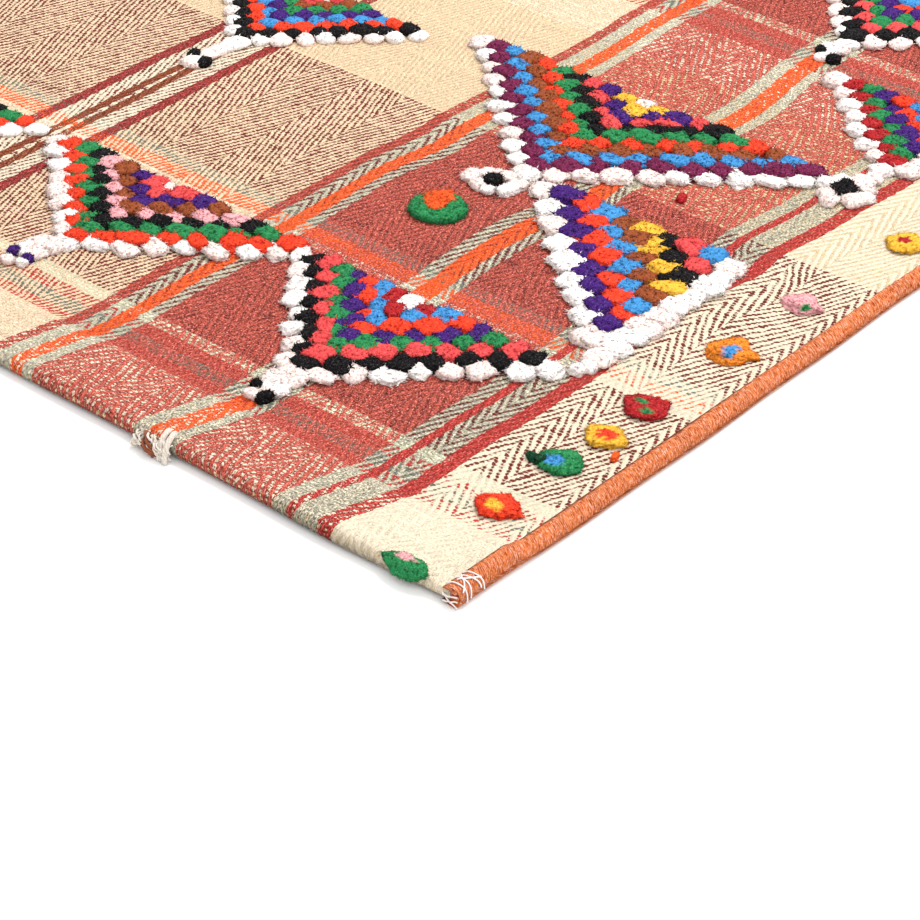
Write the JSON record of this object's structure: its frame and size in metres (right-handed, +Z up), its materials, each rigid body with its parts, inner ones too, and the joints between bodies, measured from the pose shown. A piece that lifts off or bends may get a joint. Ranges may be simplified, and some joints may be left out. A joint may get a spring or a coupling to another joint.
{
  "type": "jajim rug",
  "caption": "Flat-woven wool rug with plaid stripes, stepped tufted motifs, wool dots, overcast sides and turned-under ends, lying flat.",
  "frame": {"origin": "on the floor under the middle of the rug's box, its hanging tassel included", "axes": "+X along the rug's length, away from the end with the tassel; +Y across its width; +Z up"},
  "size_m": [1.5081, 1.0358, 0.0154],
  "materials": {
    "cloth_weave": "flat wool herringbone weave in plaid stripes, slightly hairy, matt",
    "edge_yarn": "orange wool yarn overcast closely over the side edge, matt",
    "arrow_pile": "short wool tufts in stepped rows of white, black, red, green, purple and blue, matt and fuzzy",
    "half_low_pile": "short wool tufts in stepped rows of purple, red, blue, brown and yellow with a white rim, matt and fuzzy",
    "broad_pile": "short wool tufts in stepped rows of white, plum, blue and brown, matt and fuzzy",
    "half_high_pile": "short wool tufts in stepped rows of dark red, green and white, matt and fuzzy",
    "middle_pile": "short wool tufts in stepped rows of brown, green and white, matt and fuzzy",
    "dot_wool": "single wool tufts in two colours each, matt and fuzzy",
    "tassel_yarn": "undyed and brown wool yarn ends, matt"
  },
  "bodies": {
    "root": {"arrow_1_far_1": "arrow_pile", "arrow_1_far_2": "arrow_pile", "arrow_1_far_3": "arrow_pile", "arrow_1_near_1": "arrow_pile", "arrow_1_near_2": "arrow_pile", "arrow_1_near_3": "arrow_pile", "arrow_2_far_1": "arrow_pile", "arrow_2_far_2": "arrow_pile", "arrow_2_far_3": "arrow_pile", "arrow_2_near_1": "arrow_pile", "arrow_2_near_2": "arrow_pile", "arrow_2_near_3": "arrow_pile", "binding_far": "edge_yarn", "binding_near": "edge_yarn", "broad_4_far_1": "broad_pile", "broad_4_far_2": "broad_pile", "broad_4_near_1": "broad_pile", "broad_4_near_2": "broad_pile", "cloth": "cloth_weave", "dot_far_1": "dot_wool", "dot_far_10": "dot_wool", "dot_far_2": "dot_wool", "dot_far_3": "dot_wool", "dot_far_4": "dot_wool", "dot_far_5": "dot_wool", "dot_far_6": "dot_wool", "dot_far_7": "dot_wool", "dot_far_8": "dot_wool", "dot_far_9": "dot_wool", "dot_field": "dot_wool", "dot_hem": "dot_wool", "dot_near_1": "dot_wool", "dot_near_10": "dot_wool", "dot_near_11": "dot_wool", "dot_near_12": "dot_wool", "dot_near_13": "dot_wool", "dot_near_14": "dot_wool", "dot_near_15": "dot_wool", "dot_near_2": "dot_wool", "dot_near_3": "dot_wool", "dot_near_4": "dot_wool", "dot_near_5": "dot_wool", "dot_near_6": "dot_wool", "dot_near_7": "dot_wool", "dot_near_8": "dot_wool", "dot_near_9": "dot_wool", "half_high_5_far_1": "half_high_pile", "half_high_5_far_2": "half_high_pile", "half_high_5_near_1": "half_high_pile", "half_high_5_near_2": "half_high_pile", "half_low_3_far_1": "half_low_pile", "half_low_3_far_2": "half_low_pile", "half_low_3_far_3": "half_low_pile", "half_low_3_near_1": "half_low_pile", "half_low_3_near_2": "half_low_pile", "half_low_3_near_3": "half_low_pile", "middle_1": "middle_pile", "middle_2": "middle_pile", "tassel": "tassel_yarn"}
  },
  "joints": []
}
